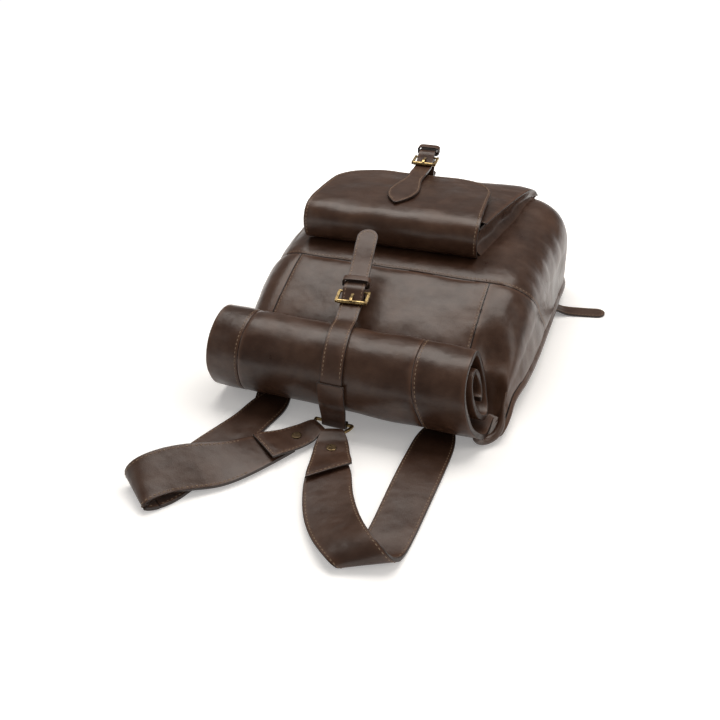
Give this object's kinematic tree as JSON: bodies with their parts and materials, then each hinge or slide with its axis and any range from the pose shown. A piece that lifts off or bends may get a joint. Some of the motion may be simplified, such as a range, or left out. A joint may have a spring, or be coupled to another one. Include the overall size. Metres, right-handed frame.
{
  "type": "roll-top backpack",
  "caption": "Roll-top leather backpack lying on its back: rolled mouth with a buckled strap, flapped front pocket, hang ring and two shoulder straps on buckled lower straps.",
  "frame": {"origin": "in the flat face of the back, on the rest plane, about halfway between the roll's near side and the base", "axes": "+X along the roll, +Y from the roll to the base, +Z from the back to the front"},
  "size_m": [0.3756, 0.5701, 0.1727],
  "materials": {
    "leather": "semi-gloss smooth leather",
    "strap_leather": "semi-gloss smooth leather with painted edges",
    "brass": "antique brass",
    "lining": "plain woven cotton",
    "foam": "closed-cell foam",
    "board": "fibre board"
  },
  "bodies": {
    "bag": {"adjuster_left_frame": "brass", "adjuster_right_frame": "brass", "anchor_eye_left": "strap_leather", "anchor_eye_right": "strap_leather", "anchor_strap_left": "strap_leather", "anchor_strap_right": "strap_leather", "back_foam": "foam", "back_panel": "leather", "base_board": "board", "base_panel": "leather", "closure_snap_post": "brass", "closure_strap_base": "strap_leather", "flap_root": "leather", "lower_body": "leather", "lower_strap_left": "strap_leather", "lower_strap_right": "strap_leather", "main_lining": "lining", "pocket_front": "leather", "pocket_gusset": "leather", "pocket_snap_post": "brass", "rear_patch": "strap_leather", "roll_band_left": "leather", "roll_band_right": "leather", "roll_centre": "leather", "shoulder_strap_left": "strap_leather", "shoulder_strap_right": "strap_leather", "upper_front": "leather", "upper_side_left": "leather", "upper_side_right": "leather"},
    "closure": {"closure_strap": "strap_leather", "closure_buckle_frame": "brass", "closure_keeper": "strap_leather", "closure_chape": "strap_leather", "closure_snap_cap": "brass"},
    "closure_roller": {"closure_buckle_roller": "brass"},
    "closure_tongue": {"closure_buckle_tongue": "brass"},
    "flap": {"pocket_flap": "leather", "flap_shield": "strap_leather", "pocket_buckle_frame": "brass", "pocket_keeper": "strap_leather", "pocket_chape": "strap_leather", "pocket_snap_cap": "brass"},
    "pocket_roller": {"pocket_buckle_roller": "brass"},
    "pocket_tongue": {"pocket_buckle_tongue": "brass"},
    "ring_and_tabs": {"ring": "brass", "strap_tab_left": "strap_leather", "strap_tab_right": "strap_leather", "tab_rivet_left": "brass", "tab_rivet_right": "brass"},
    "adjuster_left_roller": {"adjuster_left_roller": "brass"},
    "adjuster_left_tongue": {"adjuster_left_tongue": "brass"},
    "adjuster_right_roller": {"adjuster_right_roller": "brass"},
    "adjuster_right_tongue": {"adjuster_right_tongue": "brass"}
  },
  "joints": [
    {"name": "closure_swing", "type": "hinge", "parent": "bag", "child": "closure", "pos_m": [-0.0035, -0.19532, 0.05693], "axis": [1, 0, 0], "range_deg": [0, 100]},
    {"name": "closure_roller_spin", "type": "hinge", "parent": "closure", "child": "closure_roller", "pos_m": [-0.00926, -0.11252, 0.09679], "axis": [0.9903, 0.1392, 0], "continuous": true},
    {"name": "closure_tongue_play", "type": "hinge", "parent": "closure", "child": "closure_tongue", "pos_m": [-0.01166, -0.09546, 0.09921], "axis": [-0.9903, -0.1392, 0], "range_deg": [0, 5]},
    {"name": "flap_lift", "type": "hinge", "parent": "bag", "child": "flap", "pos_m": [-0.00831, 0.01199, 0.1475], "axis": [0.9994, 0.0349, 0], "range_deg": [0, 110]},
    {"name": "pocket_roller_spin", "type": "hinge", "parent": "flap", "child": "pocket_roller", "pos_m": [-0.01286, 0.1423, 0.15879], "axis": [0.9994, 0.0349, 0], "continuous": true},
    {"name": "pocket_tongue_play", "type": "hinge", "parent": "flap", "child": "pocket_tongue", "pos_m": [-0.01347, 0.15952, 0.16121], "axis": [-0.9994, -0.0349, 0], "range_deg": [0, 5]},
    {"name": "ring_lift", "type": "hinge", "parent": "bag", "child": "ring_and_tabs", "pos_m": [0.003, -0.191, 0.006], "axis": [-1, 0, 0], "range_deg": [0, 25]},
    {"name": "adjuster_left_roller_spin", "type": "hinge", "parent": "bag", "child": "adjuster_left_roller", "pos_m": [-0.1236, 0.05431, 0.0056], "axis": [0.9986, 0.0523, 0], "continuous": true},
    {"name": "adjuster_left_tongue_play", "type": "hinge", "parent": "bag", "child": "adjuster_left_tongue", "pos_m": [-0.1244, 0.06969, 0.0056], "axis": [-0.9986, -0.0523, 0], "range_deg": [0, 4]},
    {"name": "adjuster_right_roller_spin", "type": "hinge", "parent": "bag", "child": "adjuster_right_roller", "pos_m": [0.13028, 0.09085, 0.0056], "axis": [0.6691, -0.7431, 0], "continuous": true},
    {"name": "adjuster_right_tongue_play", "type": "hinge", "parent": "bag", "child": "adjuster_right_tongue", "pos_m": [0.14172, 0.10115, 0.0056], "axis": [-0.6691, 0.7431, 0], "range_deg": [0, 4]}
  ]
}
